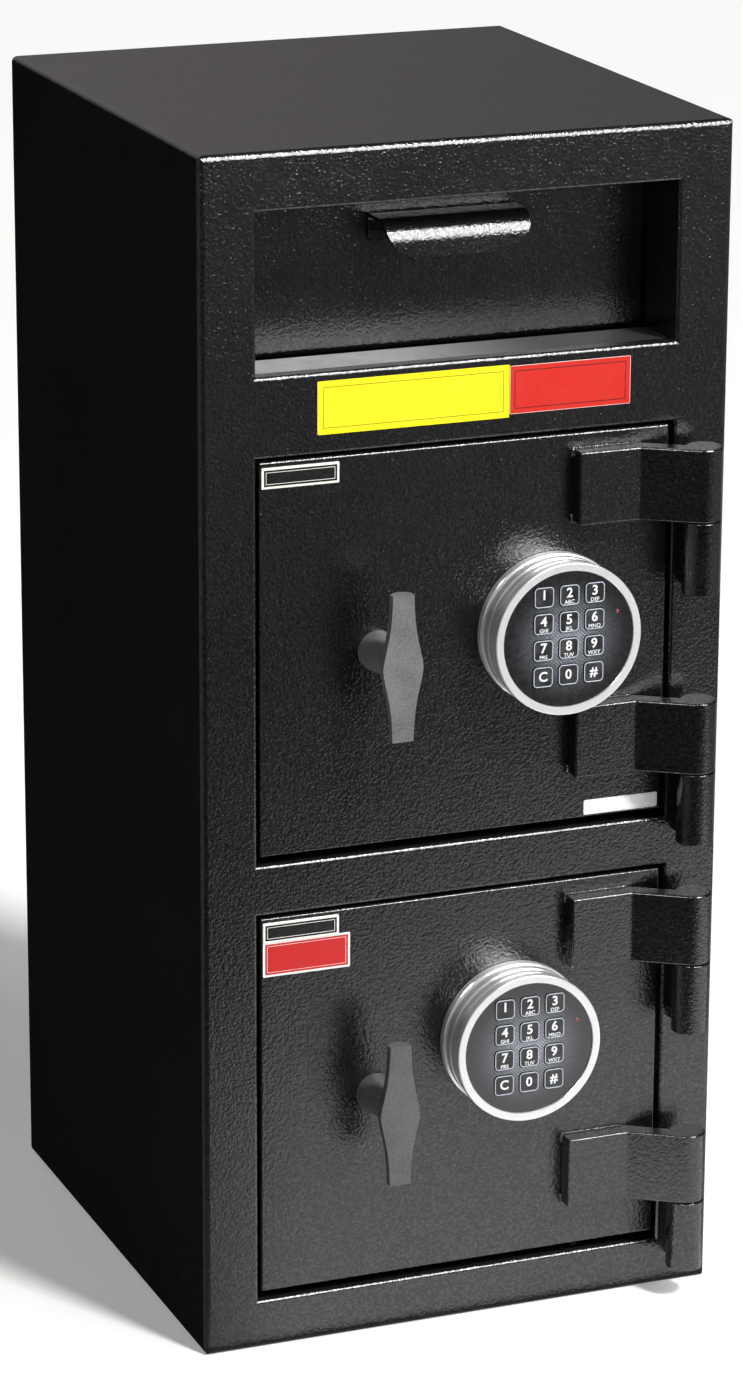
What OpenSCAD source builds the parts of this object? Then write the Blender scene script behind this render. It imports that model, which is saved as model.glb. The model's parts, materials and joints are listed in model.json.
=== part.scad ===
// Drop safe with a tilting deposit drawer over two separately locked compartments.
// Origin: centre of the base face on the floor. +Z up, the front faces -Y, +X to the viewer's right.

/* [Body] */
// Outside width of the body
body_w = 368; // [352:2:400]
// Outside depth of the body, without hinges and handles
body_d = 381; // [340:1:460]
// Outside height of the body
body_h = 813; // [780:1:900]
// Thickness of the body sheet
sheet_t = 3.4; // [2.6:0.2:4.2]
// Outside radius of the bent edges
bend_r = 4; // [3.4:0.2:5]

/* [Front frame] */
// Width of the frame beside and above the openings
flange_w = 38.2; // [36:0.2:40]
// Height of the frame under the lower opening
base_flange_h = 34.2; // [32:0.2:40]
// Height of the band between the two doors
mid_band_h = 34.6; // [32:0.2:44]
// Height of the band between the deposit opening and the upper door
deposit_band_h = 53.5; // [50:0.5:60]
// Height of the deposit opening
deposit_h = 106; // [103:0.5:112]
// Depth of the turned-in edge round each opening
return_d = 10.5; // [9:0.5:11]
// Radius of the rolled edges round each opening
opening_r = 2.6; // [2:0.2:3.2]

/* [Doors] */
// Thickness of each door plate
door_t = 12.7; // [11.7:0.5:13.2]
// Gap beside the door on the handle side
door_gap_side = 1.7; // [1.6:0.1:3]
// Gap beside the door on the hinge side
door_gap_hinge = 3.3; // [3.1:0.1:4.5]
// Gap over the door
door_gap_top = 2; // [1.6:0.2:3.4]
// Gap under the door
door_gap_bottom = 6.3; // [4.5:0.1:8]

/* [Hinges] */
// Diameter of the hinge barrels and knuckles
barrel_od = 25.4; // [22:0.2:26]
// Diameter of the hinge pins
pin_d = 12.7; // [10:0.1:13]
// Distance of the hinge axis in front of the frame
axis_out = 24; // [22:0.5:26]
// Distance of the hinge axis from the side of the body
axis_in = 27.5; // [26:0.5:29]
// Height of each hinge arm and of each knuckle
arm_h = 49.5; // [44:0.5:52]
// Thickness of the bar that the arms are bent from
arm_t = 13; // [12:0.2:13.6]

/* [Handles] */
// Length of the grip bar
grip_len = 98; // [90:1:110]
// Width of the grip bar at its ends
grip_end_w = 14.4; // [14:0.2:16]
// Width of the grip bar in the middle
grip_mid_w = 27.8; // [24:0.2:30]
// Distance from the middle of the grip bar over which it narrows
grip_swell = 21.7; // [18:0.1:24]
// Distance of the grip's flat front from the door
grip_out = 46; // [44:1:50]
// Diameter of the turning spindle
spindle_d = 12.7; // [11:0.1:13]

/* [Keypads] */
// Diameter of the keypad housing
pad_od = 103; // [101:0.5:106]
// Height of the keypad housing over the door
pad_h = 32; // [30:0.5:36]
// Diameter of the black face plate
pad_face_d = 92; // [91:0.5:93]
// Width and height of each key cap
key_w = 13.8; // [12.8:0.1:14.2]
// Distance between keys, centre to centre
key_pitch = 18; // [17.5:0.1:18.4]
// Travel of each key
key_travel = 0.8; // [0.4:0.1:0.9]

/* [Bolt work] */
// Diameter of the locking bolts
bolt_d = 16; // [12:1:18]
// Travel of the locking bolts
bolt_throw = 19.8; // [19.8:0.1:20]
// Height of each locking bolt over and under the handle
bolt_z = 85; // [80:1:90]

/* [Deposit drawer] */
// Distance of the drawer's face behind the front of the frame
drawer_in = 52; // [50:1:56]
// Radius of the roll at the foot of the drawer's face
roll_r = 6; // [5:0.5:8]
// Thickness of the drawer's sheet
drawer_t = 2.5; // [2:0.1:3]
// Width of the hooded pull
pull_w = 101.6; // [90:0.2:120]
// Distance that the pull stands out from the drawer's face
pull_out = 35; // [32:1:36]

/* [Floor anchors] */
// Diameter of each anchor hole in the base
anchor_d = 13; // [10:0.5:16]
// Distance between anchor holes across the base
anchor_x = 240; // [200:5:260]
// Distance between anchor holes from front to back
anchor_y = 240; // [200:5:260]

/* [Hidden] */

$fn = 64;
eps = 0.05;
paint = "#26262a";
bare_steel = "#8c9196";
zinc = "#a8a89c";

// Where things are: x from the middle, d from the front of the frame into the body, z from the floor
front_y = -body_d / 2;
open_w = body_w - 2 * flange_w;
open_x = open_w / 2;
deposit_top = body_h - flange_w;
deposit_bottom = deposit_top - deposit_h;
door_zone_top = deposit_bottom - deposit_band_h;
opening_h = (door_zone_top - mid_band_h - base_flange_h) / 2;
door_pitch = opening_h + mid_band_h;
lower_bottom = base_flange_h;
divider_z = lower_bottom + opening_h + mid_band_h / 2;
door_h = opening_h - door_gap_top - door_gap_bottom;
door_left = -open_x + door_gap_side;
door_right = open_x - door_gap_hinge;
// Height of the middle of each door: index 0 is the upper one, 1 the lower one
door_mid = [for (i = [1, 0]) lower_bottom + door_gap_bottom + door_h / 2 + i * door_pitch];

// Fits
weld_gap = 0.1;
run_gap = 0.05;
seat_gap = 0.3;

// Frame: its turned-in outer edge, and the depth at which what stands behind it begins
edge_t = 2.5;
edge_d = 14;
behind_frame = 15.4;
shelf_lip_h = 10;

// Hinges
axis_x = body_w / 2 - axis_in;
hinge_gap = 0.5;
arm_below_top = 10;
arm_over_foot = 32.5;
arm_top_z = [door_h / 2 - arm_below_top, -door_h / 2 + arm_over_foot + arm_h];
arm_reach = 83;
arm_flat_len = 43.5;
arm_left = axis_x - arm_reach;
pin_up = 38;
pin_down = 40;
web_left = 4;
web_w = 14;

// Locking bar behind the hinge side of the door, and the keeper on the other side
bar_half_h = 100;
bar_t = 6;
bar_in = 24;
bar_out = 10.2;
keeper_end_gap = 12;
keeper_lap = 3.5;
keeper_back = 0.5;

// Handle and what it drives, in the door's own x and z
handle_in = 81.1;
handle_x = door_left + handle_in;
socket_d = 24;
pin_circle = bolt_throw / sqrt(2);
drive_pin_d = 8;
cam_gap = 1.3;
cam_front = door_t + cam_gap;
cam_t = 5;
cam_arm_w = 15;
cam_hub_d = 21.7;
plate_gap = 1;
plate_front = cam_front + cam_t + plate_gap;
plate_t = 5;
bolt_depth = 29;
stub_d = 7;
leg_in = 29;
leg_x = handle_x - leg_in;
leg_t = 5;
leg_back = 9;
carriage_half_h = 100;
carriage_w = 22;
tip_in = 10.5;
tip_taper = 1.5;
bolt_tip = door_left + tip_in;
guide_len = 16;
guide_h = 28;
guide_back = 12;
guide_in = 3;
guide_x = bolt_tip + guide_in;
slot_w = drive_pin_d + 1.2;
tail_top = 24;
tail_bottom = -4;
tail_spare = 16;

// Lock
lock_w = 60;
lock_h = 82;
lock_t = 26;
lock_in = 100;
lock_x = handle_x + lock_in;
lock_gap = 4;
lock_z = tail_top + lock_gap;
lock_bolt_w = 10;
lock_bolt_t = 9;
lock_bolt_len = 36.5;
lock_bolt_out = 1.5;
lock_stroke = 8;
notch_d = lock_stroke + 1;
notch_side = 0.5;
notch_w = lock_bolt_w + 2 * notch_side;

// Keypads: middle of each one from the middle of its door, moved aside where an arm comes close
pad_in = [83.6, 107.3];
pad_z = [3.2, 28.8];
pad_arm_gap = 1.5;
pad_x = [for (i = [0, 1])
  min(door_right - pad_in[i], pad_room(pad_z[i] - arm_top_z[0] + arm_h), pad_room(pad_z[i] - arm_top_z[1]))];
wire_hole_d = 9;
face_t = 3.5;
face_out = pad_h - 1.1;
ledge_gap = 0.4;
well_d = 3.4;
well_floor = face_out - face_t - well_d;
key_grid_z = 3;
key_r = 2.8;
key_gap = 0.35;
foot_w = key_w + 1.2;
corner_x = key_pitch + foot_w / 2 - key_r;
corner_z = key_grid_z + 1.5 * key_pitch + foot_w / 2 - key_r;
shoulder_d = 2 * (norm([corner_x, corner_z]) + key_r + ledge_gap);

// Deposit drawer: sill, pivot axis behind the face, and the slope of the tray from the roll.
// The roll ends just under the sill's level; its middle is given from the pivot as [depth, height].
sill_z = deposit_bottom;
sill_t = 2.5;
sill_apron_h = 40;
sill_back_gap = 7;
roll_drop = 3;
pivot_in = 13;
pivot_up = 13;
pivot_d = drawer_in + pivot_in;
pivot_z = sill_z - roll_drop + pivot_up;
roll_mid = [roll_r - pivot_in, roll_r - pivot_up];
foot_strip = 14;
tray_slope = 40;
drawer_side_gap = 1.5;
drawer_half = open_x - drawer_side_gap;
drawer_top_gap = 2;
drawer_top = deposit_top - drawer_top_gap;
pivot_pin_d = 10;
collar_w = 6;
collar_t = 3;
tray_in = 3;
tray_t = 2;
tray_floor_len = 86;
tray_cheek_gap = 4;
tray_cheek_foot = 9;

// Housing round the drawer, and the toothed plate that closes its back
housing_t = 2.5;
housing_roof_gap = 1;
housing_roof = deposit_top + housing_roof_gap;
housing_reach = 93;
housing_end = pivot_d + housing_reach;
housing_skirt = 58;
baffle_t = 3;
teeth = 16;
tooth_h = 10;

// Hooded pull
pull_t = 2.2;
pull_r = 15;
pull_down = 14.5;
pull_h = 24.4;
pull_back_h = 21.5;
pull_back_r = 5;
pull_corner_r = 24;
pull_back_corner_r = 8;

// Rounded rectangle in the XZ plane, standing from depth 0 to d
module slab(x0, z0, x1, z1, d, r = 0.01) {
  rotate([90, 0, 0])
    mirror([0, 0, 1])
      linear_extrude(d) rounded(x0, z0, x1, z1, r);
}

module rounded(x0, y0, x1, y1, r) {
  translate([x0 + r, y0]) square([x1 - x0 - 2 * r, y1 - y0]);
  translate([x0, y0 + r]) square([x1 - x0, y1 - y0 - 2 * r]);
  for (x = [x0 + r, x1 - r], y = [y0 + r, y1 - r])
    translate([x, y]) circle(r);
}

// Box from its two corners
module block(x0, y0, z0, x1, y1, z1) {
  translate([x0, y0, z0]) cube([x1 - x0, y1 - y0, z1 - z0]);
}

// Extrudes a profile drawn in depth and height along X
module along_x(x0, x1) {
  translate([x0, 0, 0])
    rotate([90, 0, 90])
      linear_extrude(x1 - x0) children();
}

// Round bar along X or along Y
module rod_x(x0, x1, y, z, d) {
  translate([x0, y, z]) rotate([0, 90, 0]) cylinder(d = d, h = x1 - x0);
}

module rod_y(x, y0, y1, z, d) {
  translate([x, y0, z]) rotate([-90, 0, 0]) cylinder(d = d, h = y1 - y0);
}

module at_front() {
  translate([0, front_y, 0]) children();
}

module at_door(i) {
  translate([0, front_y, door_mid[i]]) children();
}

// Body

module body_shell() {
  color(paint) at_front()
    difference() {
      translate([0, bend_r, 0])
        difference() {
          slab(-body_w / 2, 0, body_w / 2, body_h, body_d - bend_r, bend_r);
          translate([0, -1, 0])
            slab(-body_w / 2 + sheet_t, sheet_t, body_w / 2 - sheet_t, body_h - sheet_t,
                 body_d + 2, bend_r - sheet_t + 0.6);
        }
      for (x = [-1, 1], y = [-1, 1])
        translate([x * anchor_x / 2, body_d / 2 + y * anchor_y / 2, -1])
          cylinder(d = anchor_d, h = sheet_t + 2);
    }
}

// Material to take off so that an edge along X at depth 0 becomes round
module roll_cut(x0, x1, r) {
  along_x(x0, x1)
    difference() {
      translate([-1, -1]) square([r + 1, r + 1]);
      translate([r, r]) circle(r);
      translate([r, -2]) square([2, r + 4]);
      translate([-2, r]) square([r + 4, 2]);
    }
}

// The four rolled edges round a rectangular opening, and their mitred corners
module opening_cut(x0, z0, x1, z1, r) {
  cx = (x0 + x1) / 2;
  cz = (z0 + z1) / 2;
  w = x1 - x0;
  h = z1 - z0;
  block(x0, -1, z0, x1, return_d + 20, z1);
  translate([cx, 0, cz]) {
    for (s = [0, 1]) mirror([0, 0, s]) translate([0, 0, h / 2]) roll_cut(-w / 2, w / 2, r);
    for (s = [0, 1]) mirror([s, 0, 0]) translate([w / 2, 0, 0]) rotate([0, 90, 0]) roll_cut(-h / 2, h / 2, r);
    for (s = [0, 1], t = [0, 1])
      mirror([s, 0, 0]) mirror([0, 0, t])
        intersection() {
          translate([0, 0, h / 2]) roll_cut(w / 2 - 1, w / 2 + r, r);
          translate([w / 2, 0, 0]) rotate([0, 90, 0]) roll_cut(-h / 2 - r, -h / 2 + 1, r);
        }
  }
}

// [bottom, top] of the deposit opening, the upper opening and the lower opening
openings = [
  [deposit_bottom, deposit_top],
  [lower_bottom + door_pitch, lower_bottom + door_pitch + opening_h],
  [lower_bottom, lower_bottom + opening_h]
];

module front_frame() {
  lap = sheet_t + weld_gap;
  inner = lap + edge_t;
  color(paint) at_front()
    difference() {
      union() {
        intersection() {
          slab(-body_w / 2, 0, body_w / 2, body_h, bend_r, bend_r);
          linear_extrude(body_h) frame_edge(body_w);
          translate([0, 0, body_h / 2])
            rotate([0, 90, 0])
              linear_extrude(body_w, center = true) frame_edge(body_h);
        }
        translate([0, bend_r / 2, 0])
          slab(-body_w / 2 + lap, lap, body_w / 2 - lap, body_h - lap, edge_d - bend_r / 2, 1);
      }
      difference() {
        translate([0, sheet_t, 0])
          slab(-body_w / 2 + inner, inner, body_w / 2 - inner, body_h - inner, edge_d, 1);
        for (o = openings)
          block(-open_x - sheet_t, 0, o[0] - sheet_t, open_x + sheet_t, return_d, o[1] + sheet_t);
      }
      for (o = openings) opening_cut(-open_x, o[0], open_x, o[1], opening_r);
    }
}

// Plan of the frame's front sheet with both outer edges bent back
module frame_edge(w) {
  translate([-w / 2 + bend_r, 0]) square([w - 2 * bend_r, bend_r]);
  for (s = [-1, 1])
    translate([s * (w / 2 - bend_r), bend_r]) circle(bend_r);
}

module back_panel() {
  inset = sheet_t + weld_gap;
  color(paint) at_front()
    translate([0, body_d - sheet_t, 0])
      slab(-body_w / 2 + inset, inset, body_w / 2 - inset, body_h - inset, sheet_t, 1);
}

// Shelf between the two compartments, with a stiffening lip turned down at the front
module compartment_divider() {
  half = body_w / 2 - sheet_t - weld_gap;
  color(paint) at_front() {
    block(-half, behind_frame, divider_z, half, body_d - sheet_t - weld_gap, divider_z + sheet_t);
    block(-open_x, behind_frame, divider_z - shelf_lip_h, open_x, behind_frame + sheet_t, divider_z + eps);
  }
}

// Inverted U of sheet round the tilting drawer; its sides carry the pivot pins
module hopper_housing() {
  foot = pivot_z - housing_skirt;
  color(paint) at_front()
    difference() {
      translate([0, return_d + weld_gap, 0])
        difference() {
          slab(-open_x - housing_t, foot, open_x + housing_t, housing_roof + housing_t,
               housing_end + housing_t - return_d, housing_t + 1);
          translate([0, -1, 0]) slab(-open_x, foot - 10, open_x, housing_roof, housing_end + 20, 1);
        }
      block(-body_w / 2, 0, foot - 1, body_w / 2, behind_frame, deposit_bottom - sheet_t - weld_gap);
      for (s = [-1, 1])
        rod_x(s * open_x - 5, s * open_x + 5, pivot_d, pivot_z, pivot_pin_d);
    }
}

// Smooth wear strip under the drawer, turned down behind the band
module sill_pan() {
  x = open_x - seat_gap;
  back = drawer_in - sill_back_gap;
  color(zinc) at_front() {
    block(-x, return_d + seat_gap, sill_z - sill_t, x, back, sill_z);
    block(-x, back - sill_t, sill_z - sill_apron_h, x, back, sill_z);
  }
}

// Plate behind the drawer with saw teeth along its foot, against fishing
module saw_tooth_baffle() {
  half = open_x - seat_gap;
  pitch = 2 * half / teeth;
  foot = pivot_z + tooth_h;
  color(bare_steel) at_front()
    translate([0, housing_end - baffle_t, 0])
      rotate([90, 0, 0])
        mirror([0, 0, 1])
          linear_extrude(baffle_t)
            polygon(concat(
              [[half, housing_roof], [-half, housing_roof]],
              [for (i = [0:teeth - 1]) each [
                [-half + i * pitch, foot],
                [-half + (i + 0.5) * pitch, foot - tooth_h]]],
              [[half, foot]]));
}

// Upright bar behind the frame beside each door: stop for the door and keeper for its bolts
module bolt_keepers() {
  outer = -body_w / 2 + sheet_t + edge_t + 2 * weld_gap;
  stop_x = door_left + keeper_lap;
  stop_front = door_t + seat_gap;
  back = bolt_depth - bolt_d / 2 - keeper_back;
  color(paint)
    for (i = [0, 1])
      at_door(i)
        translate([0, 0, -door_h / 2 + keeper_end_gap])
          linear_extrude(door_h - 2 * keeper_end_gap)
            polygon([
              [outer, return_d], [-open_x, return_d], [-open_x, stop_front],
              [stop_x, stop_front], [stop_x, back], [outer, back]]);
}

// Lower half of each hinge, welded to the frame through a web
module hinge_knuckles() {
  color(paint)
    for (i = [0, 1], z = arm_top_z)
      at_door(i)
        translate([axis_x, -axis_out, z - 2 * arm_h - hinge_gap])
          difference() {
            union() {
              cylinder(d = barrel_od, h = arm_h);
              translate([-web_left, 0, 0]) cube([web_w, axis_out, arm_h]);
            }
            translate([0, 0, arm_h - pin_down]) cylinder(d = pin_d, h = pin_down + 1);
          }
}

module hinge_pins() {
  color(bare_steel)
    for (i = [0, 1], z = arm_top_z)
      at_door(i)
        translate([axis_x, -axis_out, z - arm_h - hinge_gap - pin_down])
          cylinder(d = pin_d, h = pin_down + hinge_gap + pin_up - seat_gap);
}

// Deposit drawer

module drawer_pivot_pins() {
  inner = drawer_half - tray_in;
  outer = open_x + housing_t;
  color(bare_steel) at_front()
    for (s = [0, 1])
      mirror([s, 0, 0]) {
        rod_x(inner - tray_t - collar_t, outer + collar_t, pivot_d, pivot_z, pivot_pin_d);
        rod_x(inner + seat_gap, open_x, pivot_d, pivot_z, pivot_pin_d + collar_w);
        rod_x(outer, outer + collar_t, pivot_d, pivot_z, pivot_pin_d + collar_w);
      }
}

// Draws in the drawer's own plane: first axis back, second axis up, from the pivot
module at_pivot(x0, x1) {
  at_front() along_x(x0, x1) translate([pivot_d, pivot_z]) children();
}

// Sheet ring between two angles, measured from the front of the roll downwards
module roll_arc(r, t, a) {
  reach = 2 * r;
  difference() {
    circle(r);
    circle(r - t);
    translate([-reach, 0]) square([2 * reach, reach]);
    polygon([[0, 0], reach * [-cos(a), -sin(a)], [0, -reach], [reach, -reach], [reach, 0]]);
  }
}

// Turns the tray's own axes (length, height over its outer skin) into the drawer's plane
module on_tray() {
  a = 90 - tray_slope;
  translate(roll_mid - roll_r * [cos(a), sin(a)])
    rotate(-tray_slope) children();
}

module drawer_face() {
  color(paint) {
    at_pivot(-drawer_half, drawer_half) {
      translate([-pivot_in, roll_mid[1] - eps])
        square([drawer_t, drawer_top - pivot_z - roll_mid[1] + eps]);
      translate(roll_mid) roll_arc(roll_r, drawer_t, 90 - tray_slope);
      on_tray() translate([-eps, 0]) square([foot_strip, drawer_t]);
    }
  }
}

// Floor of the tray and its two sides
module drawer_tray() {
  out = drawer_half - tray_in;
  top = drawer_top - pivot_z - tray_cheek_gap;
  toe = tray_floor_len;
  along = [cos(tray_slope), -sin(tray_slope)];
  over = [sin(tray_slope), cos(tray_slope)];
  start = roll_mid * along;
  floor_line = (roll_mid * over - roll_r + drawer_t + tray_t / 2) * over;
  cheek_toe = floor_line + (start + toe - 1) * along;
  back_x = -pivot_in + drawer_t;
  color(bare_steel) {
    at_pivot(-out, out)
      on_tray() translate([4, drawer_t]) square([toe - 4, tray_t]);
    for (s = [0, 1])
      mirror([s, 0, 0])
        difference() {
          at_pivot(out - tray_t, out)
            polygon([[back_x, top], [back_x + 6, top], cheek_toe + tray_cheek_foot * over,
                     cheek_toe, floor_line + (start + 5) * along, [back_x, -2]]);
          at_front() rod_x(out - 10, out + 10, pivot_d, pivot_z, pivot_pin_d + 2 * run_gap);
        }
  }
}

// Bent sheet hood: flange on the face, flat top, round front and a straight lip
module drawer_pull() {
  t = pull_t;
  r = pull_r;
  back_r = pull_back_r;
  top = drawer_top - pull_down;
  front = drawer_in - pull_out;
  foot = top - pull_h;
  back_foot = top - pull_back_h;
  split = pull_out - 2 * back_r;
  color(paint) at_front()
    intersection() {
      along_x(-pull_w / 2, pull_w / 2) {
        translate([front, foot]) square([t, top - r - foot]);
        translate([front + r, top - r]) corner_arc(r, t, [-1, 0]);
        translate([front + r, top - t]) square([pull_out - back_r - r, t]);
        translate([drawer_in - back_r, top - back_r]) corner_arc(back_r, t, [0, 0]);
        translate([drawer_in - t, back_foot]) square([t, pull_back_h - back_r]);
      }
      union() {
        translate([0, front - 1, 0])
          slab(-pull_w / 2, foot, pull_w / 2, top + pull_h, split + 1, pull_corner_r);
        translate([0, front + split - 1, 0])
          slab(-pull_w / 2, back_foot, pull_w / 2, top + pull_h, pull_out - split + 2, pull_back_corner_r);
      }
    }
}

// Quarter of a ring in the quadrant whose lower corner is at q times the radius
module corner_arc(r, t, q) {
  intersection() {
    difference() {
      circle(r);
      circle(r - t);
    }
    translate(r * q) square(r);
  }
}

// Doors: i is 0 for the upper one and 1 for the lower one

// Plate with its hinge-side locking bar welded on behind
module door(i) {
  color(paint) at_door(i)
    difference() {
      union() {
        block(door_left, 0, -door_h / 2, door_right, door_t, door_h / 2);
        block(door_right - bar_in, door_t - eps, -bar_half_h,
              door_right + bar_out, door_t + bar_t, bar_half_h);
      }
      rod_y(handle_x, -1, door_t + 1, 0, spindle_d + 2 * run_gap);
      rod_y(pad_x[i], -1, door_t + 1, pad_z[i], wire_hole_d);
    }
}

// Plan of one arm: flat bar on the door, bend, and straight run to the barrel
module arm_plan() {
  reach = [axis_x - arm_left - arm_flat_len, -axis_out + arm_t];
  span = norm(reach);
  lean = atan2(-reach[1], reach[0]) + asin(barrel_od / 2 / span);
  bend = [arm_left + arm_flat_len, -arm_t];
  touch = [axis_x, -axis_out] + barrel_od / 2 * [-sin(lean), -cos(lean)];
  root_x = axis_x - axis_out / tan(lean);
  polygon([[arm_left, 0], [arm_left, -arm_t], bend, touch, [axis_x, -axis_out], [root_x, 0]]);
}

module hinge_arms(i) {
  color(paint) at_door(i)
    for (z = arm_top_z)
      translate([0, 0, z - arm_h])
        difference() {
          union() {
            linear_extrude(arm_h) arm_plan();
            translate([axis_x, -axis_out, 0]) cylinder(d = barrel_od, h = arm_h);
          }
          translate([axis_x, -axis_out, -1]) cylinder(d = pin_d + 2 * run_gap, h = pin_up + 1);
        }
}

// Blocks on the back of the door that guide the two locking bolts
module bolt_guides(i) {
  color(bare_steel) at_door(i)
    for (z = [-bolt_z, bolt_z])
      difference() {
        block(guide_x, door_t, z - guide_h / 2,
              guide_x + guide_len, bolt_depth + guide_back, z + guide_h / 2);
        rod_x(guide_x - 1, guide_x + guide_len + 1, bolt_depth, z, bolt_d + 2 * run_gap);
      }
}

// Angle bar that carries both bolts, with a tail that runs under the lock
module bolt_carriage(i) {
  tail_end = lock_x + lock_bolt_w / 2 + bolt_throw + tail_spare;
  slot_x = handle_x + pin_circle * cos(45);
  slot_mid = pin_circle * (1 + cos(45)) / 2;
  slot_h = pin_circle * (1 - cos(45)) + slot_w;
  notch_x = lock_x - notch_w / 2;
  half = carriage_half_h;
  color(bare_steel) at_door(i)
    difference() {
      union() {
        block(leg_x, plate_front, -half, leg_x + leg_t, bolt_depth + leg_back, half);
        block(leg_x, plate_front, -half, leg_x + carriage_w, plate_front + plate_t, half);
        block(leg_x, plate_front, tail_bottom, tail_end, plate_front + plate_t, tail_top);
      }
      translate([0, plate_front - 1, 0])
        slab(slot_x - slot_w / 2, slot_mid - slot_h / 2, slot_x + slot_w / 2, slot_mid + slot_h / 2,
             plate_t + 2, slot_w / 2 - eps);
      for (n = [0, 1])
        block(notch_x + n * bolt_throw, plate_front - 1, tail_top - notch_d,
              notch_x + notch_w + n * bolt_throw, plate_front + plate_t + 1, tail_top + 1);
      for (z = [-bolt_z, bolt_z]) rod_x(leg_x - 1, leg_x + leg_t + 1, bolt_depth, z, stub_d + weld_gap);
    }
}

module locking_bolts(i) {
  color(bare_steel) at_door(i)
    for (z = [-bolt_z, bolt_z]) {
      translate([bolt_tip, bolt_depth, z])
        rotate([0, 90, 0]) {
          cylinder(d1 = bolt_d - 2 * tip_taper, d2 = bolt_d, h = tip_taper);
          translate([0, 0, tip_taper]) cylinder(d = bolt_d, h = leg_x - bolt_tip - tip_taper);
        }
      rod_x(leg_x - 1, leg_x + leg_t, bolt_depth, z, stub_d);
    }
}

// Half width of the grip at height z: straight ends that swell into the middle
function grip_half(z) =
  let (swell_power = 1.62)
  grip_end_w / 2 + (grip_mid_w - grip_end_w) / 2 * exp(-pow(abs(z) / grip_swell, swell_power));

module handle(i) {
  steps = 28;
  plate = 6;
  rib_r = grip_end_w / 2 - 0.1;
  rib_in = 2.6;
  boss_d = 27;
  boss_tip_d = 15.4;
  boss_foot = 3;
  side = [for (k = [0:steps]) let (z = grip_len * (k / steps - 0.5)) [grip_half(z), z]];
  other = [for (k = [steps:-1:0]) [-side[k][0], side[k][1]]];
  color("#8a8b8d") at_door(i)
    translate([handle_x, 0, 0])
      difference() {
        union() {
          translate([0, -grip_out, 0])
            rotate([90, 0, 0])
              mirror([0, 0, 1])
                linear_extrude(plate) polygon(concat(side, other));
          intersection() {
            translate([0, -grip_out + rib_in, -grip_len / 2]) cylinder(r = rib_r, h = grip_len);
            block(-grip_mid_w, -grip_out, -grip_len / 2, grip_mid_w, 0, grip_len / 2);
          }
          translate([0, -seat_gap, 0])
            rotate([90, 0, 0]) {
              cylinder(d = boss_d, h = boss_foot);
              translate([0, 0, boss_foot]) cylinder(d1 = boss_d, d2 = boss_tip_d, h = grip_out - plate);
            }
        }
        rod_y(0, -socket_d, 1, 0, spindle_d);
      }
}

// Turning shaft through the door, with the cam and drive pin behind it
module handle_spindle(i) {
  color(bare_steel) at_door(i)
    translate([handle_x, 0, 0]) {
      rod_y(0, -socket_d, cam_front + cam_t, 0, spindle_d);
      rod_y(0, cam_front, cam_front + cam_t, 0, cam_hub_d);
      rotate([0, -45, 0]) {
        block(0, cam_front, -cam_arm_w / 2, pin_circle, cam_front + cam_t, cam_arm_w / 2);
        rod_y(pin_circle, cam_front, cam_front + cam_t, 0, cam_arm_w);
        rod_y(pin_circle, cam_front, plate_front + plate_t + 1, 0, drive_pin_d);
      }
    }
}

// Case of the combination lock, with the channel that its bolt slides in
module lock_case(i) {
  color(zinc) at_door(i)
    difference() {
      translate([0, door_t, 0])
        slab(lock_x - lock_w / 2, lock_z, lock_x + lock_w / 2, lock_z + lock_h, lock_t, 3);
      lock_bar(-1, lock_bolt_len - lock_bolt_out + 1, 0.15);
    }
}

// Bar on the line of the lock's bolt, between two heights over the foot of the case
module lock_bar(z0, z1, gap = 0) {
  w = lock_bolt_w / 2 + gap;
  t = lock_bolt_t / 2 + gap;
  mid = plate_front + plate_t / 2;
  block(lock_x - w, mid - t, lock_z + z0, lock_x + w, mid + t, lock_z + z1);
}

module lock_bolt(i) {
  color("#b9a26a") at_door(i) lock_bar(-lock_bolt_out, lock_bolt_len - lock_bolt_out);
}

// Keypads

// Furthest right that a keypad's middle may be when it is dz over or under an arm's near edge
function pad_room(dz) =
  let (r = pad_od / 2 + pad_arm_gap)
  abs(dz) >= r ? open_x : arm_left - sqrt(r * r - dz * dz);

module at_pad(i) {
  at_door(i) translate([pad_x[i], 0, pad_z[i]]) rotate([90, 0, 0]) children();
}

// Stepped round housing: foot flange, grooved drum and a front ring round the face
module keypad_housing(i) {
  r = pad_od / 2;
  color("#d8dadc") at_pad(i)
    difference() {
      rotate_extrude($fn = 96)
        polygon([
          [0, 0], [r - 0.6, 0], [r, 0.6], [r, 5.4], [r - 0.6, 6], [r - 2.2, 6.6], [r - 2.2, 8.4],
          [r - 0.9, 9], [r - 0.9, 15], [r - 2.2, 15.6], [r - 2.2, 17.2], [r - 0.9, 17.8],
          [r - 0.9, 23], [r - 2, 23.6], [r - 2, 24.8], [r - 0.3, 25.6], [r, 26.2],
          [r, pad_h - 0.7], [r - 0.2, pad_h - 0.2], [r - 0.7, pad_h], [pad_face_d / 2 + 0.4, pad_h],
          [pad_face_d / 2, pad_h - 0.4], [pad_face_d / 2, face_out - face_t],
          [shoulder_d / 2, face_out - face_t], [shoulder_d / 2, well_floor], [0, well_floor]]);
      translate([0, 0, -1]) cylinder(d = wire_hole_d, h = well_floor + 2);
    }
}

// Middle of key number k, counted along the rows from the top left
function key_at(k) = [(k % 3 - 1) * key_pitch, key_grid_z + (1.5 - floor(k / 3)) * key_pitch];

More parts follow.
